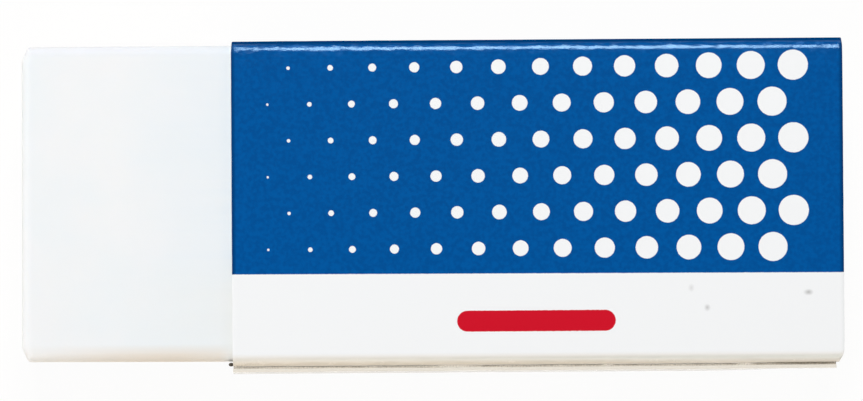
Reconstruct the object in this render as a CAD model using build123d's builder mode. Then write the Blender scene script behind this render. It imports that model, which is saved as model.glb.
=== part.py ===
"""Block eraser in a folded card sleeve, in millimetres.

X runs along the eraser, with the bare end at -X. Y runs across its broad faces, and +Z is up.
It lies on the sleeve's broad back panel. The origin is at the middle of the underside's box.
"""

import os

from build123d import *

# Eraser block
block_length = 42.8
block_width = 16.55
block_thickness = 11.0
corner_cut_length = 0.42  # the slant across each upright corner, along X
corner_cut_width = 0.8  # and across Y
block_edge_radius = 0.5  # round both broad faces
corner_radius_share = 1.1  # of that radius, where a slant meets the end and the side

# Card sleeve
sleeve_length = 32.0
card_thickness = 0.2
fold_inner_radius = 0.4
inner_flap_stop = 1.2  # from the inside of the back panel up to the inner flap's cut edge
outer_flap_stop = 0.45  # from the face of the front panel down to the outer flap's cut edge

# Fits
slide_clearance = 0.03  # between the block and the card, on each side
glue_line = 0.05  # between the two flaps of the side seam
end_recess = 0.2  # from the sleeve's rear edge in to the block's rear end

# Along X, the sleeve's rear edge is the rear end of the whole
overall_length = block_length + end_recess
block_middle_x = (block_length - overall_length) / 2
sleeve_front_x = overall_length / 2 - sleeve_length

# Across Y, middles of the card: one layer on the +Y side, two with glue between on the -Y side
inside_width = block_width + 2 * slide_clearance
overall_width = inside_width + 3 * card_thickness + glue_line
plus_side_y = (overall_width - card_thickness) / 2
inner_flap_y = plus_side_y - inside_width - card_thickness
outer_flap_y = inner_flap_y - card_thickness - glue_line
block_middle_y = (plus_side_y + inner_flap_y) / 2

# Up Z, middles of the card, with the back panel on the ground
inside_height = block_thickness + 2 * slide_clearance
back_panel_z = card_thickness / 2
front_panel_z = back_panel_z + inside_height + card_thickness
block_underside_z = card_thickness + slide_clearance

# Outline of the block from its own middle: ends, sides, both ends of a corner's slant, its rounding
block_end_x = block_length / 2
block_side_y = block_width / 2
corner_side_x = block_end_x - corner_cut_length
corner_end_y = block_side_y - corner_cut_width
block_corner_radius = block_edge_radius * corner_radius_share

# Cut edges of the two flaps
inner_flap_end_z = card_thickness + inner_flap_stop
outer_flap_end_z = front_panel_z + card_thickness / 2 - outer_flap_stop

os.makedirs("parts", exist_ok=True)

# Eraser block: a moulded bar with slanted corners and softly rounded edges
with BuildPart() as eraser_block:
    with BuildSketch(Plane(origin=(block_middle_x, block_middle_y, block_underside_z))):
        with BuildLine():
            FilletPolyline(
                (-block_end_x, -corner_end_y),
                (-corner_side_x, -block_side_y),
                (corner_side_x, -block_side_y),
                (block_end_x, -corner_end_y),
                (block_end_x, corner_end_y),
                (corner_side_x, block_side_y),
                (-corner_side_x, block_side_y),
                (-block_end_x, corner_end_y),
                radius=block_corner_radius,
                close=True,
            )
        make_face()
    extrude(amount=block_thickness)
    broad_faces = eraser_block.faces().filter_by(Axis.Z)
    fillet(broad_faces.edges(), block_edge_radius)

# Card sleeve: one strip folded four times, its two flaps lapped and glued on the -Y side.
# The line runs in the middle of the card, from the inner flap's cut edge round to the outer flap's.
with BuildPart() as card_sleeve:
    with BuildSketch(Plane.YZ.offset(sleeve_front_x)):
        with BuildLine():
            FilletPolyline(
                (inner_flap_y, inner_flap_end_z),
                (inner_flap_y, front_panel_z),
                (plus_side_y, front_panel_z),
                (plus_side_y, back_panel_z),
                (outer_flap_y, back_panel_z),
                (outer_flap_y, outer_flap_end_z),
                radius=fold_inner_radius + card_thickness / 2,
            )
        trace(line_width=card_thickness)
    extrude(amount=sleeve_length)

eraser_block.part.label = "eraser_block"
export_step(eraser_block.part, "parts/eraser_block.step")

card_sleeve.part.label = "card_sleeve"
export_step(card_sleeve.part, "parts/card_sleeve.step")
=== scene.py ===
"""Looks of a block eraser in a folded card sleeve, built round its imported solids.

Metres, +Z up. +X runs along the eraser away from its bare end, +Y away from the sleeve's lapped seam.
Materials work in millimetres of the same frame.
"""

import math
from collections import namedtuple

import bmesh
import bpy
import numpy as np
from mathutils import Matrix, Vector, noise


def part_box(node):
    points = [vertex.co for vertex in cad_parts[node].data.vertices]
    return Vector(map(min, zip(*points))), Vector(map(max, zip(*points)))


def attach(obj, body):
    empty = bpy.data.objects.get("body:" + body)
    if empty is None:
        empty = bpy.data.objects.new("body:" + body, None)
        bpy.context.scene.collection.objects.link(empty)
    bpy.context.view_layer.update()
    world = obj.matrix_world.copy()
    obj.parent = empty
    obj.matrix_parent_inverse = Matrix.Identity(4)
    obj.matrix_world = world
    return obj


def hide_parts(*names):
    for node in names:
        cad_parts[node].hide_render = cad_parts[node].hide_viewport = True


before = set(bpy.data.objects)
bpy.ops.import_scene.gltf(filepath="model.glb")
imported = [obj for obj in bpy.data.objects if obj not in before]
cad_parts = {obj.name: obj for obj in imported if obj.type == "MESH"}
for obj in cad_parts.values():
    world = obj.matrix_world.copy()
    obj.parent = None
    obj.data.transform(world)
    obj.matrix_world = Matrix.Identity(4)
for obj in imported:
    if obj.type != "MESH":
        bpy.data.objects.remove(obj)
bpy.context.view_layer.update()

MM = 0.001
BLOCK_LOW, BLOCK_HIGH = (Vector(corner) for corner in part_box("eraser_block"))
SLEEVE_LOW, SLEEVE_HIGH = (Vector(corner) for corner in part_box("card_sleeve"))
SLEEVE_LENGTH = SLEEVE_HIGH.x - SLEEVE_LOW.x

# Sizes shared with the solids
BLOCK_EDGE_RADIUS = 0.5 * MM
CARD = 0.2 * MM
FOLD_RADIUS = 0.5 * MM  # at the middle of the card
GLUE_LINE = 0.05 * MM
INNER_FLAP_STOP = 1.2 * MM
OUTER_FLAP_STOP = 0.45 * MM

# The block's slanted corners, a little sharper than the solid's
CORNER_CUT_LENGTH = 0.32 * MM
CORNER_CUT_WIDTH = 0.75 * MM
BLOCK_CORNER_RADIUS = 0.28 * MM
BLOCK_LEAST_RADIUS = 0.04 * MM  # where the broad faces' rounding draws the corners in

# Wear of the block's bare end
END_SKEW = 0.0053  # drift in X for each unit of Y
BARE_TAPER = 0.05 * MM  # of the -Y side

# How the card's panels and folds depart from a perfect fold
FRONT_PANEL_BOW = 0.03 * MM
PLUS_SIDE_BOW = 0.02 * MM
SEAM_SIDE_SWELL = 0.045 * MM  # of the whole lapped side, but for its rear end
FOLD_WIDTH = 0.5 * MM
FOLD_FLATNESS = (2.2, 1.0, 1.0, 1.0)  # of the four folds, from the inner flap on
WORN_FOLD = 1  # number of the fold between the front and the +Y side
MOUTH_CRUSH = 0.045 * MM  # of the worn fold
MOUTH_CRUSH_REACH = 2.0 * MM
REAR_ROUNDING = 0.05 * MM  # of the worn fold, which grows rounder towards the rear
REAR_ROUNDING_WIDTH = 0.3 * MM
CRINKLE = 0.012 * MM
CRINKLE_LENGTH = 1.1 * MM
CRINKLE_WIDTH = 0.5 * MM

# How the outer flap and its lip stand off the inner flap
FLAP_BELLY = 0.13 * MM  # how far the flap swells out below its lip
FLAP_BELLY_PLACE = 1.3 * MM  # from the lip
REAR_BELLY_LOSS = 0.5  # share of the swelling that is gone at the rear
LIP_REACH = 2.5 * MM
LIP_LIFT = 0.03 * MM  # at the cut edge
LIP_RIPPLE = 0.015 * MM
LIP_RIPPLES = 14.0  # along the sleeve
REAR_LIP_LIFT = 0.02 * MM
REAR_SHARES = (0.78, 0.95)  # of the sleeve's length, where the seam starts to open and is open

# The card's cuts
RAGGED_CUT = 0.008 * MM
RAGGED_LENGTH = 0.3 * MM
CUT_CHAMFER = 0.02 * MM
CUT_THINNING_SHARE = 0.88  # of the card's thickness, left at a cut
FRONT_CUT_SKEW = 0.0017  # drift in X for each unit of Y
REAR_CUT_SKEW = -0.001
SETBACK_REACH = 0.55 * MM  # to each side of a fold, over which a setback changes
# How far each panel's cut lies back: inner flap, front, +Y side, back, outer flap
FRONT_SETBACKS = (0.03 * MM, 0.0, 0.04 * MM, 0.0, 0.02 * MM)
REAR_SETBACKS = (0.30 * MM, 0.0, 0.05 * MM, 0.05 * MM, 0.05 * MM)
FLAP_TAPER = 0.36 * MM  # of the outer flap's rear cut, from its fold to its lip

# Glue in the seam, and a dark bead at the seam's mouth that is painted shade of the gap there
GLUE_DEPTH = 0.075 * MM  # below the lip
REAR_GLUE_DEPTH = 0.19 * MM
GLUE_UNEVEN_SHARE = 0.8
GLUE_UNEVEN_LENGTH = 0.9 * MM
# Where the glue was pressed out level with the lip: places along X, half lengths
GLUE_LEVEL = ((1.15 * MM, 1.0 * MM), (9.1 * MM, 0.25 * MM), (16.35 * MM, 0.5 * MM))
GLUE_LEVEL_POWER = 4  # how abruptly these stretches end
GLUE_HEIGHT = 0.40 * MM
GLUE_SINK = 0.03 * MM  # into the card on both sides
BEAD_OFFSETS = (-0.095 * MM, 0.11 * MM)  # of its middle, from the front cut and the glue line
BEAD_HALF_SIZES = (0.13 * MM, 0.10 * MM, 0.14 * MM)

# Where each unevenness reads the smooth noise, so that no two are alike
FRONT_CUT_NOISE = (3.0, 0.0)
REAR_CUT_NOISE = (9.0, 0.0)
LIP_NOISE = (5.0, 1.0)
GLUE_NOISE = (2.0, 4.0)
CRINKLE_NOISE = 7.0

# Mesh fineness
PANEL_PITCH = 0.5 * MM
STATION_PITCH = 0.2 * MM
FOLD_STEPS = 10
FOLD_SUBSTEPS = 8  # in each step, to add up a fold's curve
CORNER_STEPS = 10
EDGE_STEPS = 8
BLOCK_SLICE = 1.0 * MM
BEAD_STEPS = 12
GLUE_CORNERS = 4

# Faces that the print and the wear are measured from, in millimetres
MOUTH_X, REAR_X = SLEEVE_LOW.x / MM, SLEEVE_HIGH.x / MM
SEAM_Y, RIM_Y = SLEEVE_LOW.y / MM, SLEEVE_HIGH.y / MM
FRONT_Z = SLEEVE_HIGH.z / MM
BLOCK_LOW_Y, BLOCK_HIGH_Y = BLOCK_LOW.y / MM, BLOCK_HIGH.y / MM

# Print on the card, in millimetres
FIELD_EDGE_Y = -3.606
FIELD_EDGE_SLOPE = -0.0029  # drift in Y for each unit of X
INK_EDGE = 0.03
INK_WANDER = 0.03
DOT_PITCH_X = 2.2
DOT_ROW_STEP = 1.9
DOT_FIRST_X = -8.6
DOT_LAST_X = 19.4
DOT_LOW_Y = -2.3
DOT_ROWS = 6
DOT_LEAST_RADIUS = 0.06
DOT_MOST_RADIUS = 0.80
BAR_X = 5.4
BAR_Y = -6.1
BAR_HALF_LENGTH = 3.6  # without its round ends
BAR_RADIUS = 0.55

# Wear, dirt and painted shade of the card, in millimetres. Pairs of offsets and reaches say where it begins
# and is full.
FOLD_REACH = (1.6, 0.4)  # in fold radii from the outside
# Where painted shade darkens the print along the +Y rim
RIM_OFFSETS = (-0.28, -0.14)  # from RIM_Y
RIM_REACH = (1.6, 0.9)  # from a broad face
# Where painted shade darkens the print along the cuts
CUT_REACH = (0.24, 0.06)  # from the front and rear cuts
WORN_OFFSETS = (3.5, 0.5)  # from MOUTH_X
UPPER_EDGE_OFFSETS = (-1.56, -0.66)  # from FRONT_Z
# Painted warm shade along the upper edge of the lapped side, the tint of warm bounce light from below; less
# of it on the outer flap
WARM_SHADE_OFFSETS = (0.9, 0.4)  # from SEAM_Y
WARM_SHADE_FADE_X = (8.0, 20.0)  # between them it falls to the rear share
WARM_SHADE_REAR_SHARE = 0.7
FLAP_OFFSETS = (0.3, 0.2)  # from SEAM_Y, where the outer flap lies
FLAP_WARM_SHADE_SHARE = 0.2
# Painted grey shade along the crease above the lapped side's fold, stronger towards the rear
CREASE_SHADE_Y = SEAM_Y + 0.56
CREASE_SHADE_FADES = (0.17, -0.25)  # from CREASE_SHADE_Y, to both sides
CREASE_SHADE_X = (-9.0, 14.0)  # between them it goes from the first share to the second
CREASE_SHADE_SHARES = (0.2, 0.9)
# Specks of dirt on the white band: x, y, half length, half width, darkness
SPECKS = (
    (19.64, -4.70, 0.20, 0.13, 0.48),
    (14.34, -5.47, 0.13, 0.15, 0.38),
    (13.51, -4.43, 0.13, 0.17, 0.20),
)
SPECK_FADE = (1.4, 0.1)  # in half sizes

# Painted shade and painted bounce light on the block, in millimetres. Pairs of offsets and reaches say where
# it begins and is full.
# Painted warm shade along the upper edge of the block's -Y side near the mouth, the tint of warm bounce light
VINYL_WARM_SHADE_OFFSETS = (0.95, 0.4)  # from BLOCK_LOW_Y
VINYL_WARM_SHADE_OUTSIDE_OFFSETS = (-12.5, -2.5)  # from MOUTH_X
VINYL_WARM_SHADE_INSIDE_OFFSETS = (3.5, 0.5)  # from MOUTH_X
# Painted shade along the block's +Y upper edge
VINYL_EDGE_SHADE_OFFSETS = (-0.6, -0.15)  # from BLOCK_HIGH_Y
# Painted shade of the sleeve's mouth on the block, bluish beside the blue field as painted blue bounce light
MOUTH_SHADE_OFFSETS = (-6.0, -0.3)  # from MOUTH_X
MOUTH_SHADE_SHARE = 0.55
MOUTH_CONTACT_SHADE_OFFSETS = (-0.7, -0.1)  # from MOUTH_X
MOUTH_CONTACT_SHADE_SHARE = 0.45
MOUTH_SHADE_INSIDE_OFFSETS = (1.5, 0.2)  # from MOUTH_X
MOUTH_SHADE_UNEVENNESS = (0.7, 1.0)  # least and most share of it along the drag marks
# The blue rubbing here is painted blue bounce light
BLUE_BOUNCE_HALF_WIDTH = 1.0  # of the change from white to blue rubbing, round FIELD_EDGE_Y

# Textures: scale for each millimetre and detail of a noise, its stretch along X, Y and Z, its range in use
NOISE_RANGE = (0.3, 0.7)
WANDER_X_TEXTURE = (9.0, 2.0)
WANDER_Y_TEXTURE = (7.3, 2.0)
MOTTLE_TEXTURE = (4.5, 3.0)
MOTTLE_RANGE = (0.38, 0.62)
CRACK_TEXTURE = (2.6, 5.0)
CRACK_STRETCH = (0.7, 1.0, 1.0)
CRACK_RANGE = (0.56, 0.72)
CRINKLE_TEXTURE = (3.4, 2.0)
CRINKLE_STRETCH = (0.4, 0.8, 0.8)
COATING_TEXTURE = (14.0, 3.0)
FIBRE_TEXTURE = (5.0, 4.0)
FIBRE_STRETCH = (0.35, 1.0, 1.0)
FLECK_TEXTURE = (1.3, 3.0)
CORE_TEXTURE = (9.0, 4.0)
LUMP_TEXTURE = (12.0, 3.0)
LUMP_RANGE = (0.4, 0.7)
CLOUD_TEXTURE = (0.22, 3.0)
CLOUD_RANGE = (0.35, 0.65)
GRAIN_TEXTURE = (7.0, 4.0)
DRAG_TEXTURE = (1.6, 2.0)
DRAG_STRETCH = (0.08, 1.0, 1.0)

# Finishes: roughness, specular level, depth of the relief in millimetres
COATING_ROUGHNESS = (0.17, 0.24)
COATING_GLOSS = (0.5, 0.60)  # on the panels and on the folds
COATING_DEPTH = 0.0012
SCUFF_SHARE = 0.6
SCUFF_ROUGHNESS = 0.25  # on top of the coating's
WORN_ROUGHNESS = 0.08  # on top of the coating's
CRINKLE_DEPTH = 0.05
WORN_DEPTH = 0.05  # on top of the other crinkles'
BARE_ROUGHNESS = (0.8, 0.95)
BARE_GLOSS = 0.3
FIBRE_DEPTH = 0.012
CORE_ROUGHNESS = (0.85, 0.98)
CORE_GLOSS = 0.2
CORE_DEPTH = 0.02
GLUE_ROUGHNESS = (0.4, 0.6)
GLUE_GLOSS = 0.3
LUMP_DEPTH = 0.01
VINYL_ROUGHNESS = (0.48, 0.62)
VINYL_GLOSS = 0.2
GRAIN_DEPTH = 0.006
DRAG_DEPTH = 0.008
SCATTER_WEIGHT = 0.15
SCATTER_RADII = (1.0, 0.9, 0.8)
SCATTER_SCALE = 0.6 * MM


def linear(red, green, blue):
    """A colour given in 8-bit display values, as the linear colour that shaders take."""
    def channel(value):
        value /= 255
        return value / 12.92 if value <= 0.04045 else ((value + 0.055) / 1.055) ** 2.4
    return (channel(red), channel(green), channel(blue), 1.0)


def darkened(colour, share):
    """A share of a colour's light."""
    return tuple(share * channel for channel in colour[:3]) + (1.0,)


# Colours
CARD_WHITE = linear(246, 246, 245)
# Painted warm shade, the tint of warm bounce light on the lapped side's upper edge
CARD_WARM_SHADE = linear(228, 217, 199)
# Painted shade of the crease above the lapped side's fold
CARD_CREASE_SHADE = linear(214, 216, 209)
CARD_CORE = linear(229, 222, 209)
CARD_CORE_DARK = darkened(CARD_CORE, 0.94)
CARD_INSIDE = linear(204, 195, 180)
CARD_INSIDE_DARK = darkened(CARD_INSIDE, 0.9)
BLUE_INK = linear(0, 86, 157)
BLUE_INK_THICK = linear(0, 78, 146)
# Painted shade of the print along the +Y rim and the cuts
BLUE_INK_RIM_SHADE = linear(0, 58, 112)
BLUE_SCUFF = linear(40, 112, 186)
INK_SHEEN = (0.48, 0.78, 1.0, 1.0)
RED_INK = linear(208, 18, 40)
DIRT = linear(92, 84, 74)
# Painted shade of the seam's gap at the mouth, on the dark bead
GAP_SHADE_DARK = linear(74, 65, 53)
GLUE_PALE = linear(230, 221, 205)
LUMP_SHADE = 0.7  # share of the glue's colour on its lumps
VINYL = linear(241, 241, 240)
VINYL_DEEP = linear(237, 240, 240)
# Painted shade of the sleeve's mouth on the block, and its bluish form as painted blue bounce light
VINYL_MOUTH_SHADE = linear(232, 234, 232)
VINYL_BLUE_BOUNCE = linear(227, 234, 239)
# Painted warm shade, the tint of warm bounce light
VINYL_WARM_SHADE = linear(229, 215, 198)
# Painted shade of the block's +Y upper edge
VINYL_EDGE_SHADE = linear(235, 236, 239)
WARM_LIGHT = (1.0, 0.95, 0.88)
COOL_LIGHT = (0.984, 1.0, 1.027)
ROOM_LIGHT = (0.02, 0.02, 0.02, 1.0)
FLOOR_PAINT = (0.86, 0.80, 0.72, 1.0)
WHITE = (1.0, 1.0, 1.0, 1.0)

# Camera, at the photograph's framing
PHOTO_WIDTH = 863  # in pixels
PIXELS_PER_MM = 19.12
CAMERA_DISTANCE = 400 * MM
CAMERA_CLIP = (1 * MM, 10.0)
SENSOR_WIDTH = 36.0
ROLL_DEGREES = -0.40
VIEW_MIDDLE = (-0.046 * MM, 0.226 * MM)

# Floor and light
FLOOR_SIZE = 4.0
FLOOR_GLOW_SHARE = 0.95  # of what the camera sees of the floor; the rest takes the shadow
LAMP_DISTANCE = 0.5
# Name, azimuth from +X and elevation in degrees, share of the light on level ground, width, height, colour
LAMPS = (
    ("key", 90.0, 54.0, 0.675, 0.12, 0.28, COOL_LIGHT),
    ("left", 180.0, 32.0, 0.265, 0.50, 0.40, COOL_LIGHT),
    ("right", 0.0, 30.0, 0.08, 0.50, 0.40, COOL_LIGHT),
    ("low", 270.0, 13.0, 0.17, 0.90, 0.20, WARM_LIGHT),
)

# Sockets of a Mix node that take and give colours
FIRST_COLOUR, SECOND_COLOUR, MIXED_COLOUR = 6, 7, 2

# Numbers of the sleeve's materials, in the order that make_sleeve lists them
PRINTED_FACE, BARE_FACE, CUT_FACE, BEAD_FACE, GLUE_FACE = range(5)

# The folded card along its middle, from the inner flap's cut edge to the outer flap's: its points in Y and Z,
# their outward normals, distances along the card and bows, and the distances of the four folds' middles
Section = namedtuple("Section", "points normals along bows fold_places")


class Shader:
    """A material with short ways to add nodes to it. Its places are in millimetres."""

    def __init__(self, name):
        self.material = bpy.data.materials.new(name)
        self.material.use_nodes = True
        self.nodes = self.material.node_tree.nodes
        self.links = self.material.node_tree.links
        self.surface = self.nodes["Principled BSDF"]
        coordinates = self.nodes.new("ShaderNodeTexCoord")
        scale = self.nodes.new("ShaderNodeVectorMath")
        scale.operation = "SCALE"
        scale.inputs["Scale"].default_value = 1 / MM
        self.links.new(coordinates.outputs["Object"], scale.inputs[0])
        self.place = scale.outputs[0]
        split = self.nodes.new("ShaderNodeSeparateXYZ")
        self.links.new(self.place, split.inputs[0])
        self.x, self.y, self.z = split.outputs

    def put(self, socket, value):
        """Links a socket to another one, or sets it to a constant."""
        if isinstance(value, bpy.types.NodeSocket):
            self.links.new(value, socket)
        else:
            socket.default_value = value

    def set(self, **values):
        """Sets inputs of the surface, each named with underscores for spaces."""
        for name, value in values.items():
            self.put(self.surface.inputs[name.replace("_", " ")], value)

    def math(self, operation, *values):
        node = self.nodes.new("ShaderNodeMath")
        node.operation = operation
        for socket, value in zip(node.inputs, values):
            self.put(socket, value)
        return node.outputs[0]

    def product(self, first, *others):
        total = first
        for value in others:
            total = self.math("MULTIPLY", total, value)
        return total

    def length(self, first, second):
        squares = self.math("MULTIPLY_ADD", first, first, self.math("MULTIPLY", second, second))
        return self.math("SQRT", squares)

    def span(self, value, low, high, to_low=0.0, to_high=1.0):
        """Maps low..high to to_low..to_high, and stays within them."""
        node = self.nodes.new("ShaderNodeMapRange")
        for socket, item in zip(node.inputs, (value, low, high, to_low, to_high)):
            self.put(socket, item)
        return node.outputs[0]

    def ramp(self, value, origin, offsets, to_first=0.0, to_second=1.0):
        """A span between two places that are offset from an origin."""
        first, second = offsets
        return self.span(value, origin + first, origin + second, to_first, to_second)

    def inside(self, distance):
        """1 where a signed distance is below zero, with an ink's soft edge."""
        return self.span(distance, INK_EDGE / 2, -INK_EDGE / 2)

    def mix(self, factor, first, second):
        node = self.nodes.new("ShaderNodeMix")
        node.data_type = "RGBA"
        self.put(node.inputs["Factor"], factor)
        self.put(node.inputs[FIRST_COLOUR], first)
        self.put(node.inputs[SECOND_COLOUR], second)
        return node.outputs[MIXED_COLOUR]

    def stretched(self, factors):
        node = self.nodes.new("ShaderNodeVectorMath")
        node.operation = "MULTIPLY"
        self.put(node.inputs[0], self.place)
        node.inputs[1].default_value = factors
        return node.outputs[0]

    def noise(self, texture, stretch=None):
        """Noise of a scale and detail, stretched where factors along X, Y and Z are given."""
        scale, detail = texture
        node = self.nodes.new("ShaderNodeTexNoise")
        self.put(node.inputs["Vector"], self.stretched(stretch) if stretch else self.place)
        node.inputs["Scale"].default_value = scale
        node.inputs["Detail"].default_value = detail
        return node.outputs[0]

    def bump(self, height):
        """Height in millimetres."""
        node = self.nodes.new("ShaderNodeBump")
        node.inputs["Distance"].default_value = MM
        self.put(node.inputs["Height"], height)
        self.put(self.surface.inputs["Normal"], node.outputs[0])


def dot_lattice(shader, x, y, first_x, first_y):
    """White dots on a plain lattice that grow towards the rear, as a share of white."""
    across = shader.math("WRAP", shader.math("SUBTRACT", x, first_x), DOT_PITCH_X / 2, -DOT_PITCH_X / 2)
    up = shader.math("WRAP", shader.math("SUBTRACT", y, first_y), DOT_ROW_STEP, -DOT_ROW_STEP)
    middle_x = shader.math("SUBTRACT", x, across)
    middle_y = shader.math("SUBTRACT", y, up)
    radius = shader.span(middle_x, DOT_FIRST_X, DOT_LAST_X, DOT_LEAST_RADIUS, DOT_MOST_RADIUS)
    half_row = DOT_ROW_STEP / 2
    top_y = DOT_LOW_Y + (DOT_ROWS - 1) * DOT_ROW_STEP
    return shader.product(
        shader.inside(shader.math("SUBTRACT", shader.length(across, up), radius)),
        shader.math("GREATER_THAN", middle_y, DOT_LOW_Y - half_row),
        shader.math("LESS_THAN", middle_y, top_y + half_row),
        shader.math("GREATER_THAN", middle_x, DOT_FIRST_X - DOT_PITCH_X / 2),
        shader.math("LESS_THAN", middle_x, DOT_LAST_X + DOT_PITCH_X / 4),
    )


def blue_share(shader, x, y):
    """1 on the blue field, but for its white dots."""
    edge_y = shader.math("MULTIPLY_ADD", x, FIELD_EDGE_SLOPE, FIELD_EDGE_Y)
    field = shader.inside(shader.math("SUBTRACT", edge_y, y))
    even_rows = dot_lattice(shader, x, y, DOT_FIRST_X, DOT_LOW_Y)
    odd_rows = dot_lattice(shader, x, y, DOT_FIRST_X + DOT_PITCH_X / 2, DOT_LOW_Y + DOT_ROW_STEP)
    dots = shader.math("MAXIMUM", even_rows, odd_rows)
    return shader.math("MULTIPLY", field, shader.math("SUBTRACT", 1.0, dots))


def red_share(shader, x, y):
    """1 on the red bar."""
    from_middle = shader.math("ABSOLUTE", shader.math("SUBTRACT", x, BAR_X))
    past_end = shader.math("MAXIMUM", shader.math("SUBTRACT", from_middle, BAR_HALF_LENGTH), 0.0)
    from_bar = shader.length(past_end, shader.math("SUBTRACT", y, BAR_Y))
    return shader.inside(shader.math("SUBTRACT", from_bar, BAR_RADIUS))


def fold_share(shader):
    """1 along the middle of the four folds and 0 on the flat panels."""
    middle = (SLEEVE_LOW + SLEEVE_HIGH) / 2 / MM
    half = (SLEEVE_HIGH - SLEEVE_LOW) / 2 / MM
    radius = (FOLD_RADIUS + CARD / 2) / MM
    nearness = []
    for place, centre, outside in ((shader.y, middle.y, half.y), (shader.z, middle.z, half.z)):
        out = shader.math("ABSOLUTE", shader.math("SUBTRACT", place, centre))
        begins, full = (outside - radii * radius for radii in FOLD_REACH)
        nearness.append(shader.span(out, begins, full))
    return shader.product(*nearness)


def shaded_rim_share(shader):
    """1 along the outer halves of the two +Y folds, where painted shade darkens the print and it is least
    shiny.
    """
    from_broad_face = shader.math("MINIMUM", shader.z, shader.math("SUBTRACT", FRONT_Z, shader.z))
    return shader.product(shader.ramp(shader.y, RIM_Y, RIM_OFFSETS), shader.span(from_broad_face, *RIM_REACH))


def cut_shade_share(shader):
    """1 along the sleeve's front and rear cuts, where the print carries painted shade."""
    from_front = shader.math("SUBTRACT", shader.x, MOUTH_X)
    from_rear = shader.math("SUBTRACT", REAR_X, shader.x)
    return shader.span(shader.math("MINIMUM", from_front, from_rear), *CUT_REACH)


def upper_share(shader):
    """1 along the upper edges of the long sides and on the broad front, and 0 lower down."""
    return shader.ramp(shader.z, FRONT_Z, UPPER_EDGE_OFFSETS)


def paper_with_painted_shade(shader):
    """White card, with painted warm shade along the upper edge of the lapped side, the tint of warm bounce
    light there, and a painted grey crease shade in the fold there.
    """
    # Painted warm shade of warm bounce light along the lapped side's upper edge
    warm_shade = shader.product(
        shader.ramp(shader.y, SEAM_Y, WARM_SHADE_OFFSETS),
        upper_share(shader),
        shader.ramp(shader.y, SEAM_Y, FLAP_OFFSETS, 1.0, FLAP_WARM_SHADE_SHARE),
        shader.span(shader.x, *WARM_SHADE_FADE_X, 1.0, WARM_SHADE_REAR_SHARE),
    )
    # Painted grey shade along the crease above the lapped side's fold
    crease_shade = shader.product(
        shader.math("MINIMUM", *(shader.span(shader.y, CREASE_SHADE_Y + fade, CREASE_SHADE_Y) for fade in CREASE_SHADE_FADES)),
        upper_share(shader),
        shader.span(shader.x, *CREASE_SHADE_X, *CREASE_SHADE_SHARES),
    )
    return shader.mix(crease_shade, shader.mix(warm_shade, CARD_WHITE, CARD_WARM_SHADE), CARD_CREASE_SHADE)


def blue_ink(shader, scuffed, rim):
    """Mottled blue, paler where a fold is scuffed, with painted shade darkening it along the rim and the
    cuts.
    """
    mottle = shader.span(shader.noise(MOTTLE_TEXTURE), *MOTTLE_RANGE)
    ink = shader.mix(mottle, BLUE_INK_THICK, BLUE_INK)
    ink = shader.mix(scuffed, ink, BLUE_SCUFF)
    # Painted shade darkens the print along the rim and the cuts
    return shader.mix(shader.math("MAXIMUM", rim, cut_shade_share(shader)), ink, BLUE_INK_RIM_SHADE)


def dirtied(shader, colour, x, y):
    """A colour with the specks of dirt laid over it, on the front only."""
    above = shader.math("GREATER_THAN", shader.z, FRONT_Z / 2)
    for speck_x, speck_y, half_length, half_width, darkness in SPECKS:
        along = shader.math("DIVIDE", shader.math("SUBTRACT", x, speck_x), half_length)
        aside = shader.math("DIVIDE", shader.math("SUBTRACT", y, speck_y), half_width)
        dirty = shader.span(shader.length(along, aside), *SPECK_FADE, 0.0, darkness)
        colour = shader.mix(shader.math("MULTIPLY", dirty, above), colour, DIRT)
    return colour


def wandering(shader, place, texture):
    """A place that strays a little from its true value, as an ink's edge does on card."""
    stray = shader.math("MULTIPLY_ADD", shader.noise(texture), INK_WANDER, -INK_WANDER / 2)
    return shader.math("ADD", place, stray)


def printed_face():
    """Coated card with a blue field, a white band, fading dots and a red bar, worn along its folds."""
    shader = Shader("printed_card_face")
    x = wandering(shader, shader.x, WANDER_X_TEXTURE)
    y = wandering(shader, shader.y, WANDER_Y_TEXTURE)
    blue = blue_share(shader, x, y)
    folds = fold_share(shader)
    # The rim carries painted shade in the ink's colour, and less gloss
    rim = shaded_rim_share(shader)
    cracks = shader.noise(CRACK_TEXTURE, CRACK_STRETCH)
    scuffed = shader.math("MULTIPLY", folds, shader.span(cracks, *CRACK_RANGE, 0.0, SCUFF_SHARE))
    worn = shader.math("MULTIPLY", folds, shader.ramp(shader.x, MOUTH_X, WORN_OFFSETS))

    colour = shader.mix(blue, paper_with_painted_shade(shader), blue_ink(shader, scuffed, rim))
    colour = shader.mix(red_share(shader, x, y), colour, RED_INK)
    colour = dirtied(shader, colour, x, y)

    grain = shader.noise(COATING_TEXTURE)
    roughness = shader.span(grain, *NOISE_RANGE, *COATING_ROUGHNESS)
    roughness = shader.math("MULTIPLY_ADD", scuffed, SCUFF_ROUGHNESS, roughness)
    roughness = shader.math("MULTIPLY_ADD", worn, WORN_ROUGHNESS, roughness)
    crinkles = shader.noise(CRINKLE_TEXTURE, CRINKLE_STRETCH)
    depth = shader.math("MULTIPLY_ADD", worn, WORN_DEPTH, shader.math("MULTIPLY", folds, CRINKLE_DEPTH))
    height = shader.math("MULTIPLY_ADD", crinkles, depth, shader.math("MULTIPLY", grain, COATING_DEPTH))
    shader.bump(height)
    gloss = shader.span(folds, 0.0, 1.0, *COATING_GLOSS)
    shader.set(
        Base_Color=colour,
        Roughness=roughness,
        Specular_IOR_Level=shader.math("MULTIPLY", gloss, shader.math("SUBTRACT", 1.0, rim)),
        Specular_Tint=shader.mix(blue, WHITE, INK_SHEEN),
    )
    return shader.material


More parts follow.
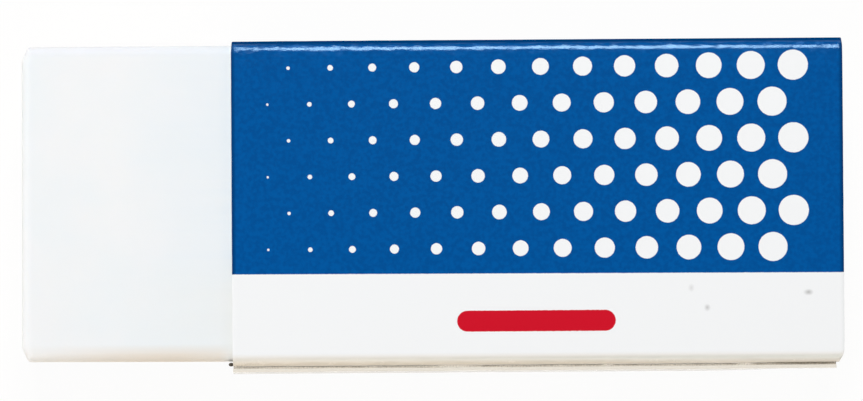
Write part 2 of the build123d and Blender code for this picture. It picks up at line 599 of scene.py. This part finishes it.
def bare_face():
    """The uncoated inside of the card."""
    shader = Shader("bare_card_face")
    fibres = shader.noise(FIBRE_TEXTURE, FIBRE_STRETCH)
    flecks = shader.noise(FLECK_TEXTURE)
    shade = shader.product(shader.span(fibres, *NOISE_RANGE), shader.span(flecks, *NOISE_RANGE))
    shader.bump(shader.math("MULTIPLY", fibres, FIBRE_DEPTH))
    shader.set(
        Base_Color=shader.mix(shade, CARD_INSIDE_DARK, CARD_INSIDE),
        Roughness=shader.span(fibres, *NOISE_RANGE, *BARE_ROUGHNESS),
        Specular_IOR_Level=BARE_GLOSS,
    )
    return shader.material


def cut_face():
    """The cut edge of the card, where its core shows."""
    shader = Shader("card_cut_edge")
    fibres = shader.noise(CORE_TEXTURE)
    shader.bump(shader.math("MULTIPLY", fibres, CORE_DEPTH))
    shader.set(
        Base_Color=shader.mix(shader.span(fibres, *NOISE_RANGE), CARD_CORE_DARK, CARD_CORE),
        Roughness=shader.span(fibres, *NOISE_RANGE, *CORE_ROUGHNESS),
        Specular_IOR_Level=CORE_GLOSS,
    )
    return shader.material


def glue_and_gap_shade(name, colour):
    """Lumpy and a little shiny: dried glue in the seam, and the dark bead of painted gap shade at its mouth.
    """
    shader = Shader(name)
    lumps = shader.noise(LUMP_TEXTURE)
    shader.bump(shader.math("MULTIPLY", lumps, LUMP_DEPTH))
    shader.set(
        Base_Color=shader.mix(shader.span(lumps, *LUMP_RANGE), colour, darkened(colour, LUMP_SHADE)),
        Roughness=shader.span(lumps, *NOISE_RANGE, *GLUE_ROUGHNESS),
        Specular_IOR_Level=GLUE_GLOSS,
    )
    return shader.material


def mouth_shade_share(shader, drag):
    """How much painted shade the sleeve's mouth casts on the block: most at the mouth, fading to both sides
    of it.
    """
    nearing = shader.ramp(shader.x, MOUTH_X, MOUTH_SHADE_OFFSETS, 0.0, MOUTH_SHADE_SHARE)
    nearest = shader.ramp(shader.x, MOUTH_X, MOUTH_CONTACT_SHADE_OFFSETS, 0.0, MOUTH_CONTACT_SHADE_SHARE)
    return shader.product(
        shader.math("ADD", nearing, nearest),
        shader.span(drag, *NOISE_RANGE, *MOUTH_SHADE_UNEVENNESS),
        shader.ramp(shader.x, MOUTH_X, MOUTH_SHADE_INSIDE_OFFSETS),
    )


def vinyl():
    """Soft white vinyl: matte, a little translucent, with a fine moulded grain."""
    shader = Shader("white_vinyl")
    grain = shader.noise(GRAIN_TEXTURE)
    drag = shader.noise(DRAG_TEXTURE, DRAG_STRETCH)
    shader.bump(shader.math("MULTIPLY_ADD", grain, GRAIN_DEPTH, shader.math("MULTIPLY", drag, DRAG_DEPTH)))
    # Painted warm shade of warm bounce light along the block's -Y upper edge near the mouth
    warm_shade = shader.product(
        shader.ramp(shader.y, BLOCK_LOW_Y, VINYL_WARM_SHADE_OFFSETS),
        upper_share(shader),
        shader.ramp(shader.x, MOUTH_X, VINYL_WARM_SHADE_OUTSIDE_OFFSETS),
        shader.ramp(shader.x, MOUTH_X, VINYL_WARM_SHADE_INSIDE_OFFSETS),
    )
    # Painted shade along the block's +Y upper edge, against the key light there
    edge_shade = shader.product(shader.ramp(shader.y, BLOCK_HIGH_Y, VINYL_EDGE_SHADE_OFFSETS), upper_share(shader))
    # Where the painted mouth shade turns bluish as painted blue bounce light
    blue_bounce = shader.ramp(shader.y, FIELD_EDGE_Y, (-BLUE_BOUNCE_HALF_WIDTH, BLUE_BOUNCE_HALF_WIDTH))
    cloud = shader.span(shader.noise(CLOUD_TEXTURE), *CLOUD_RANGE)
    colour = shader.mix(cloud, VINYL_DEEP, VINYL)
    colour = shader.mix(warm_shade, colour, VINYL_WARM_SHADE)
    colour = shader.mix(edge_shade, colour, VINYL_EDGE_SHADE)
    # Painted shade near the sleeve's mouth, bluish beside the blue field as painted bounce light
    colour = shader.mix(mouth_shade_share(shader, drag), colour, shader.mix(blue_bounce, VINYL_MOUTH_SHADE, VINYL_BLUE_BOUNCE))
    shader.set(
        Base_Color=colour,
        Roughness=shader.span(grain, *NOISE_RANGE, *VINYL_ROUGHNESS),
        Specular_IOR_Level=VINYL_GLOSS,
        Subsurface_Weight=SCATTER_WEIGHT,
        Subsurface_Radius=SCATTER_RADII,
        Subsurface_Scale=SCATTER_SCALE,
    )
    return shader.material


def add_piece(name, mesh, materials, body, node):
    """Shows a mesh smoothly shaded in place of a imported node, on that node's body."""
    piece = bpy.data.objects.new(name, mesh)
    bpy.context.collection.objects.link(piece)
    for material in materials:
        mesh.materials.append(material)
    mesh.polygons.foreach_set("use_smooth", [True] * len(mesh.polygons))
    normals = piece.modifiers.new("even_normals", "WEIGHTED_NORMAL")
    normals.keep_sharp = True
    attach(piece, body)
    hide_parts(node)


def slices(low, high, step):
    """Places between two ends, about a step apart."""
    return np.linspace(low, high, max(2, round((high - low) / step)) + 1)[1:-1]


def block_outline(inset):
    """Points of the block's outline in plan from its middle, drawn in by an inset."""
    half = (BLOCK_HIGH - BLOCK_LOW) / 2
    side_x, end_y = half.x - CORNER_CUT_LENGTH, half.y - CORNER_CUT_WIDTH
    lower = [(-half.x, -end_y), (-side_x, -half.y), (side_x, -half.y), (half.x, -end_y)]
    corners = [np.array(corner) for corner in lower]
    corners += [-corner for corner in corners]
    radius = max(BLOCK_CORNER_RADIUS - inset, BLOCK_LEAST_RADIUS)
    points = []
    for k, corner in enumerate(corners):
        into = corner - corners[k - 1]
        away = corners[(k + 1) % len(corners)] - corner
        turn = math.atan2(into[0] * away[1] - into[1] * away[0], into @ away)
        into = into / np.linalg.norm(into)
        outward = np.array((into[1], -into[0]))
        middle = corner - into * (inset + radius) * math.tan(turn / 2) - outward * (inset + radius)
        for angle in np.linspace(0.0, turn, CORNER_STEPS + 1):
            points.append(middle + radius * (outward * math.cos(angle) + into * math.sin(angle)))
    return points


def block_levels():
    """Insets and heights of the block's outline, from the rim of its underside up to that of its front."""
    turns = np.linspace(0.0, math.pi / 2, EDGE_STEPS + 1)
    rim = BLOCK_EDGE_RADIUS * np.column_stack((1.0 - np.sin(turns), 1.0 - np.cos(turns)))
    levels = [(inset, BLOCK_LOW.z + height) for inset, height in rim]
    return levels + [(inset, BLOCK_HIGH.z - height) for inset, height in rim[::-1]]


def slice_block(shape):
    """Cuts the large faces of the block into smaller ones, so that they can be skewed and tapered and shade
    evenly.
    """
    inset = BLOCK_EDGE_RADIUS + CORNER_CUT_WIDTH
    for axis in range(3):
        normal = Vector(float(k == axis) for k in range(3))
        first, last = BLOCK_LOW[axis] + inset, BLOCK_HIGH[axis] - inset
        for place in (first, last, *slices(first, last, BLOCK_SLICE)):
            everything = shape.verts[:] + shape.edges[:] + shape.faces[:]
            bmesh.ops.bisect_plane(shape, geom=everything, plane_co=normal * place, plane_no=normal)


def wear_block(shape, middle):
    """Skews and tapers the bare end of the block."""
    bare_length = SLEEVE_LOW.x - BLOCK_LOW.x
    half_width = BLOCK_HIGH.y - middle.y
    for vertex in shape.verts:
        share = max(0.0, (SLEEVE_LOW.x - vertex.co.x) / bare_length)
        from_middle = vertex.co.y - middle.y
        vertex.co.x += END_SKEW * from_middle * share
        vertex.co.y += BARE_TAPER * share * max(0.0, -from_middle / half_width)


def make_block():
    """The moulded bar, worn at its bare end."""
    middle = (BLOCK_LOW + BLOCK_HIGH) / 2
    shape = bmesh.new()
    rings = []
    for inset, z in block_levels():
        rings.append([shape.verts.new((middle.x + x, middle.y + y, z)) for x, y in block_outline(inset)])
    count = len(rings[0])
    for low, high in zip(rings, rings[1:]):
        for k in range(count):
            after = (k + 1) % count
            shape.faces.new((low[k], low[after], high[after], high[k]))
    shape.faces.new(rings[0][::-1])
    shape.faces.new(rings[-1])
    slice_block(shape)
    wear_block(shape, middle)
    mesh = bpy.data.meshes.new("vinyl_block")
    shape.to_mesh(mesh)
    shape.free()
    add_piece("vinyl_block", mesh, [vinyl()], "block", "eraser_block")


def wave(*place):
    """Smooth noise between -1 and 1 that is the same each run."""
    return noise.noise(Vector(place))


def eased(share):
    """A share kept within 0 and 1, with a smooth start and end."""
    share = np.clip(share, 0.0, 1.0)
    return share * share * (3.0 - 2.0 * share)


def hump(distance, reach, power=2):
    """1 at no distance, falling smoothly to 0 beyond a reach, more abruptly with a higher even power."""
    return np.exp(-((distance / reach) ** power))


def fold_steps(flatness):
    """Turn and place, in radii, at the steps inside a fold: round at flatness 1, with a flat above that."""
    share = np.linspace(-1.0, 1.0, FOLD_SUBSTEPS * FOLD_STEPS + 1)
    turn = math.pi / 4 * (1.0 + np.sign(share) * np.abs(share) ** flatness)
    middles = (turn[1:] + turn[:-1]) / 2
    onward = np.concatenate(([0.0], np.cumsum(np.cos(middles))))
    inward = np.concatenate(([0.0], np.cumsum(np.sin(middles))))
    rows = np.column_stack((turn, onward / onward[-1], inward / inward[-1]))
    return rows[FOLD_SUBSTEPS:-FOLD_SUBSTEPS:FOLD_SUBSTEPS]


def folded_section():
    """The folded card before wear."""
    plus_side = SLEEVE_HIGH.y - CARD / 2
    outer_flap = SLEEVE_LOW.y + CARD / 2
    inner_flap = outer_flap + CARD + GLUE_LINE
    back = SLEEVE_LOW.z + CARD / 2
    front = SLEEVE_HIGH.z - CARD / 2
    corners = [np.array(corner) for corner in (
        (inner_flap, SLEEVE_LOW.z + CARD + INNER_FLAP_STOP),
        (inner_flap, front),
        (plus_side, front),
        (plus_side, back),
        (outer_flap, back),
        (outer_flap, SLEEVE_HIGH.z - OUTER_FLAP_STOP),
    )]
    panel_bows = (0.0, FRONT_PANEL_BOW, PLUS_SIDE_BOW, 0.0, 0.0)
    points, normals, bows, fold_places = [], [], [], []
    travelled = 0.0
    last = len(panel_bows) - 1
    for panel, panel_bow in enumerate(panel_bows):
        heading = corners[panel + 1] - corners[panel]
        heading = heading / np.linalg.norm(heading)
        outward = np.array((-heading[1], heading[0]))
        start = corners[panel] + heading * (FOLD_RADIUS if panel > 0 else 0.0)
        end = corners[panel + 1] - heading * (FOLD_RADIUS if panel < last else 0.0)
        length = np.linalg.norm(end - start)
        for share in np.linspace(0.0, 1.0, max(2, math.ceil(length / PANEL_PITCH)) + 1):
            points.append(start + (end - start) * share)
            normals.append(outward)
            bows.append(panel_bow * (1.0 - (2.0 * share - 1.0) ** 2))
        travelled += length
        if panel < last:
            fold_places.append(travelled + FOLD_RADIUS * math.pi / 4)
            travelled += FOLD_RADIUS * math.pi / 2
            for turn, onward, inward in fold_steps(FOLD_FLATNESS[panel]):
                points.append(end + FOLD_RADIUS * (onward * heading - inward * outward))
                normals.append(outward * math.cos(turn) + heading * math.sin(turn))
                bows.append(0.0)
    points = np.array(points)
    along = np.concatenate(([0.0], np.cumsum(np.linalg.norm(np.diff(points, axis=0), axis=1))))
    return Section(points, np.array(normals), along, np.array(bows), fold_places)


def by_panel(values, section):
    """One value on each panel, eased from one to the next over the folds."""
    total = np.full(len(section.along), values[0])
    for place, before, after in zip(section.fold_places, values, values[1:]):
        total += (after - before) * eased((section.along - place) / (2 * SETBACK_REACH) + 0.5)
    return total


def cut_stray(section, cut_noise, skew):
    """How far a ragged and skewed cut strays along X at each point of the section."""
    ragged = np.array([RAGGED_CUT * wave(place / RAGGED_LENGTH, *cut_noise) for place in section.along])
    middle_y = (SLEEVE_LOW.y + SLEEVE_HIGH.y) / 2
    return ragged + skew * (section.points[:, 0] - middle_y)


def cut_lines(section):
    """Places along X of the front and rear cuts at each point of the section."""
    front_stray = cut_stray(section, FRONT_CUT_NOISE, FRONT_CUT_SKEW)
    rear_stray = cut_stray(section, REAR_CUT_NOISE, REAR_CUT_SKEW)
    front = SLEEVE_LOW.x + by_panel(FRONT_SETBACKS, section) + front_stray
    rear = SLEEVE_HIGH.x - by_panel(REAR_SETBACKS, section) + rear_stray
    flap_start, flap_end = section.fold_places[-1], section.along[-1]
    up_flap = np.clip((section.along - flap_start) / (flap_end - flap_start), 0.0, 1.0)
    return front, rear - FLAP_TAPER * up_flap


def rear_share(share):
    """0 along most of the sleeve's length, and 1 near its rear end, where the seam opens."""
    first, full = REAR_SHARES
    return float(eased((share - first) / (full - first)))


def seam_swell(share):
    """How far the lapped side stands out."""
    return SEAM_SIDE_SWELL * (1.0 - rear_share(share))


def lip_lift(share):
    """How far the lip stands off the inner flap."""
    return LIP_LIFT + LIP_RIPPLE * wave(share * LIP_RIPPLES, *LIP_NOISE) + REAR_LIP_LIFT * rear_share(share)


def outward_shift(section, share, x):
    """How far wear moves each point of the section outward, at a share of the sleeve's length."""
    along, worn_place = section.along, section.fold_places[WORN_FOLD]
    near_fold = np.clip(sum(hump(along - place, FOLD_WIDTH) for place in section.fold_places), 0.0, 1.0)
    crinkle = np.array([wave(a / CRINKLE_LENGTH, s / CRINKLE_WIDTH, CRINKLE_NOISE) for a, s in zip(x, along)])
    from_lip = along[-1] - along
    from_crest = from_lip / FLAP_BELLY_PLACE
    belly = FLAP_BELLY * from_crest * np.exp(1.0 - from_crest)
    lip = np.clip(1.0 - from_lip / LIP_REACH, 0.0, 1.0) ** 2
    seam_side = np.clip(-section.normals[:, 0], 0.0, 1.0)
    at_mouth = hump(share * SLEEVE_LENGTH, MOUTH_CRUSH_REACH)
    crush = MOUTH_CRUSH * at_mouth * hump(along - worn_place, FOLD_WIDTH)
    rounding = REAR_ROUNDING * share * hump(along - worn_place, REAR_ROUNDING_WIDTH)
    out = section.bows + belly * (1.0 - REAR_BELLY_LOSS * rear_share(share)) + lip * lip_lift(share)
    return out + CRINKLE * near_fold * crinkle + seam_swell(share) * seam_side - crush - rounding


def half_thickness(section, share):
    """Half the card's thickness at each point of the section, thinned by the knife along all its cuts."""
    to_flap_cut = np.minimum(section.along, section.along[-1] - section.along)
    to_cut = np.minimum(to_flap_cut, min(share, 1.0 - share) * SLEEVE_LENGTH)
    thinning = CUT_THINNING_SHARE + (1.0 - CUT_THINNING_SHARE) * np.clip(to_cut / CUT_CHAMFER, 0.0, 1.0)
    return CARD / 2 * thinning


def glue_depth(share, x):
    """How far the glue in the seam lies below the lip."""
    depth = GLUE_DEPTH + (REAR_GLUE_DEPTH - GLUE_DEPTH) * rear_share(share)
    depth *= 1.0 + GLUE_UNEVEN_SHARE * wave(x / GLUE_UNEVEN_LENGTH, *GLUE_NOISE)
    for place, half_length in GLUE_LEVEL:
        depth *= 1.0 - hump(x - place, half_length, GLUE_LEVEL_POWER)
    return depth


def glue_corners(section, share, x, out):
    """Corners of the glue across the seam, from the top of the outer flap's side round to its bottom."""
    lip_y, lip_z = section.points[-1]
    from_lip = section.along[-1] - section.along
    top = glue_depth(share, x)
    bottom = top + GLUE_HEIGHT
    inner_y = lip_y + CARD / 2 + GLUE_LINE - seam_swell(share) + GLUE_SINK
    outer_y = {}
    for down in (top, bottom):
        outer_y[down] = lip_y + CARD / 2 - np.interp(down, from_lip[::-1], out[::-1]) - GLUE_SINK
    places = ((outer_y[top], top), (inner_y, top), (inner_y, bottom), (outer_y[bottom], bottom))
    return [(x, y, lip_z - down) for y, down in places]


def strip_faces(stations, steps):
    """Faces of the card between its stations, whose outer points all come before the inner ones."""
    count = stations * steps
    faces = []
    for i in range(stations - 1):
        first, second = i * steps, (i + 1) * steps
        for j in range(steps - 1):
            a, b, c, d = first + j, second + j, second + j + 1, first + j + 1
            faces.append((PRINTED_FACE, (a, b, c, d)))
            faces.append((BARE_FACE, (d + count, c + count, b + count, a + count)))
        faces.append((CUT_FACE, (first, first + count, second + count, second)))
        first, second = first + steps - 1, second + steps - 1
        faces.append((CUT_FACE, (first, second, second + count, first + count)))
    rear = (stations - 1) * steps
    for j in range(steps - 1):
        faces.append((CUT_FACE, (j, j + 1, j + 1 + count, j + count)))
        faces.append((CUT_FACE, (rear + j + 1, rear + j, rear + j + count, rear + j + 1 + count)))
    return faces


def tube_faces(kind, rings, turns):
    """Faces of a closed tube of rings, with both its ends shut."""
    faces = [(kind, list(range(turns)))]
    for i in range(rings - 1):
        for j in range(turns):
            a, b = i * turns + j, i * turns + (j + 1) % turns
            faces.append((kind, [a, a + turns, b + turns, b]))
    last = (rings - 1) * turns
    faces.append((kind, list(reversed(range(last, last + turns)))))
    return faces


def card_shells():
    """The worn card and the glue in its seam, each as vertices and faces."""
    section = folded_section()
    front_x, rear_x = cut_lines(section)
    chamfer = CUT_CHAMFER / SLEEVE_LENGTH
    between = slices(0.0, 1.0, STATION_PITCH / SLEEVE_LENGTH)
    shares = np.concatenate(([0.0, chamfer], between, [1.0 - chamfer, 1.0]))
    outer, inner, glue = [], [], []
    for share in shares:
        x = front_x + (rear_x - front_x) * share
        out = outward_shift(section, share, x)
        half = half_thickness(section, share)
        for rows, shift in ((outer, out + half), (inner, out - half)):
            rows.extend(np.column_stack((x, section.points + section.normals * shift[:, None])))
        if 0.0 < share < 1.0:
            glue.extend(glue_corners(section, share, x[-1], out))
    card = outer + inner, strip_faces(len(shares), len(section.along))
    return card, (glue, tube_faces(GLUE_FACE, len(glue) // GLUE_CORNERS, GLUE_CORNERS))


def gap_shade_bead():
    """A dark bead at the seam's mouth, painted shade of the gap between the flaps there."""
    middle = np.array((
        SLEEVE_LOW.x + BEAD_OFFSETS[0],
        SLEEVE_LOW.y + CARD + GLUE_LINE / 2 + BEAD_OFFSETS[1],
        SLEEVE_HIGH.z - OUTER_FLAP_STOP,
    ))
    sizes = np.array(BEAD_HALF_SIZES)
    turns = 2 * BEAD_STEPS
    vertices = []
    for polar in math.pi * np.arange(1, BEAD_STEPS) / BEAD_STEPS:
        for turn in 2 * math.pi * np.arange(turns) / turns:
            ball = (math.sin(polar) * math.cos(turn), math.sin(polar) * math.sin(turn), math.cos(polar))
            vertices.append(middle + sizes * np.array(ball))
    return vertices, tube_faces(BEAD_FACE, BEAD_STEPS - 1, turns)


def joined_mesh(name, shells):
    """One mesh of several shells, each with its vertices and its faces as (material number, corners)."""
    vertices, faces, kinds = [], [], []
    for shell_vertices, shell_faces in shells:
        start = len(vertices)
        vertices.extend(shell_vertices)
        for kind, corners in shell_faces:
            faces.append([start + corner for corner in corners])
            kinds.append(kind)
    mesh = bpy.data.meshes.new(name)
    mesh.from_pydata(vertices, [], faces)
    mesh.polygons.foreach_set("material_index", kinds)
    return mesh


def sharpen_borders(mesh):
    """Makes the edges sharp where one material meets another, as a knife leaves them."""
    kinds_at = {}
    for polygon in mesh.polygons:
        for key in polygon.edge_keys:
            kinds_at.setdefault(key, set()).add(polygon.material_index)
    for edge in mesh.edges:
        edge.use_edge_sharp = len(kinds_at[edge.key]) > 1


def make_sleeve():
    """One strip of printed card, folded, lapped and glued."""
    card, glue = card_shells()
    mesh = joined_mesh("printed_sleeve", [card, glue, gap_shade_bead()])
    sharpen_borders(mesh)
    materials = [
        printed_face(),
        bare_face(),
        cut_face(),
        # The dark bead is painted shade of the seam's gap at the mouth
        glue_and_gap_shade("gap_shade_bead", GAP_SHADE_DARK),
        glue_and_gap_shade("glue_line", GLUE_PALE),
    ]
    add_piece("printed_sleeve", mesh, materials, "sleeve", "card_sleeve")


def seen_directly(nodes, links):
    """1 for rays from the camera, and for those that a mirror or glass sends on."""
    path = nodes.new("ShaderNodeLightPath")
    value = path.outputs["Is Camera Ray"]
    for name in ("Is Glossy Ray", "Is Transmission Ray"):
        most = nodes.new("ShaderNodeMath")
        most.operation = "MAXIMUM"
        links.new(value, most.inputs[0])
        links.new(path.outputs[name], most.inputs[1])
        value = most.outputs[0]
    return value


def floor_paint():
    """Pale paint that shows white, with the object's soft shadow kept."""
    material = bpy.data.materials.new("pale_floor")
    material.use_nodes = True
    nodes, links = material.node_tree.nodes, material.node_tree.links
    nodes.clear()
    paint = nodes.new("ShaderNodeBsdfDiffuse")
    paint.inputs["Color"].default_value = FLOOR_PAINT
    glow = nodes.new("ShaderNodeEmission")
    glow.inputs["Color"].default_value = WHITE
    share = nodes.new("ShaderNodeMath")
    share.operation = "MULTIPLY"
    share.inputs[1].default_value = FLOOR_GLOW_SHARE
    links.new(seen_directly(nodes, links), share.inputs[0])
    mix = nodes.new("ShaderNodeMixShader")
    links.new(share.outputs[0], mix.inputs[0])
    links.new(paint.outputs[0], mix.inputs[1])
    links.new(glow.outputs[0], mix.inputs[2])
    output = nodes.new("ShaderNodeOutputMaterial")
    links.new(mix.outputs[0], output.inputs["Surface"])
    return material


def make_floor():
    """A plain square floor."""
    mesh = bpy.data.meshes.new("floor")
    half = FLOOR_SIZE / 2
    corners = [(-half, -half, 0), (half, -half, 0), (half, half, 0), (-half, half, 0)]
    mesh.from_pydata(corners, [], [(0, 1, 2, 3)])
    mesh.materials.append(floor_paint())
    floor = bpy.data.objects.new("floor", mesh)
    bpy.context.collection.objects.link(floor)


def place_lamps():
    """Soft lamps round the object, strongest from +Y."""
    target = Vector((0.0, 0.0, SLEEVE_HIGH.z))
    for name, azimuth, elevation, share, width, height, colour in LAMPS:
        around, up = math.radians(azimuth), math.radians(elevation)
        lamp = bpy.data.lights.new(name, "AREA")
        lamp.shape = "RECTANGLE"
        lamp.size = width
        lamp.size_y = height
        lamp.color = colour
        lamp.energy = share * math.pi ** 2 * LAMP_DISTANCE ** 2 / math.sin(up)
        towards = Vector((math.cos(up) * math.cos(around), math.cos(up) * math.sin(around), math.sin(up)))
        holder = bpy.data.objects.new(name, lamp)
        holder.location = target + towards * LAMP_DISTANCE
        holder.rotation_euler = towards.to_track_quat("Z", "Y").to_euler()
        bpy.context.collection.objects.link(holder)


def make_room():
    """A dim room that shows white to the camera."""
    world = bpy.data.worlds.new("room")
    bpy.context.scene.world = world
    world.use_nodes = True
    nodes, links = world.node_tree.nodes, world.node_tree.links
    path = nodes.new("ShaderNodeLightPath")
    colour = nodes.new("ShaderNodeMix")
    colour.data_type = "RGBA"
    colour.inputs[FIRST_COLOUR].default_value = ROOM_LIGHT
    colour.inputs[SECOND_COLOUR].default_value = WHITE
    links.new(path.outputs["Is Camera Ray"], colour.inputs["Factor"])
    links.new(colour.outputs[MIXED_COLOUR], nodes["Background"].inputs["Color"])


def place_camera():
    """Straight down on the broad front, at the photograph's framing."""
    camera = bpy.data.cameras.new("camera")
    camera.sensor_width = SENSOR_WIDTH
    camera.lens = SENSOR_WIDTH * CAMERA_DISTANCE / (PHOTO_WIDTH / PIXELS_PER_MM * MM)
    camera.clip_start, camera.clip_end = CAMERA_CLIP
    holder = bpy.data.objects.new("camera", camera)
    holder.location = (*VIEW_MIDDLE, SLEEVE_HIGH.z + CAMERA_DISTANCE)
    holder.rotation_euler = (0.0, 0.0, math.radians(ROLL_DEGREES))
    bpy.context.collection.objects.link(holder)
    bpy.context.scene.camera = holder


make_block()
make_sleeve()
make_floor()
place_lamps()
make_room()
place_camera()
bpy.context.scene.view_settings.view_transform = "Standard"

bpy.context.view_layer.update()
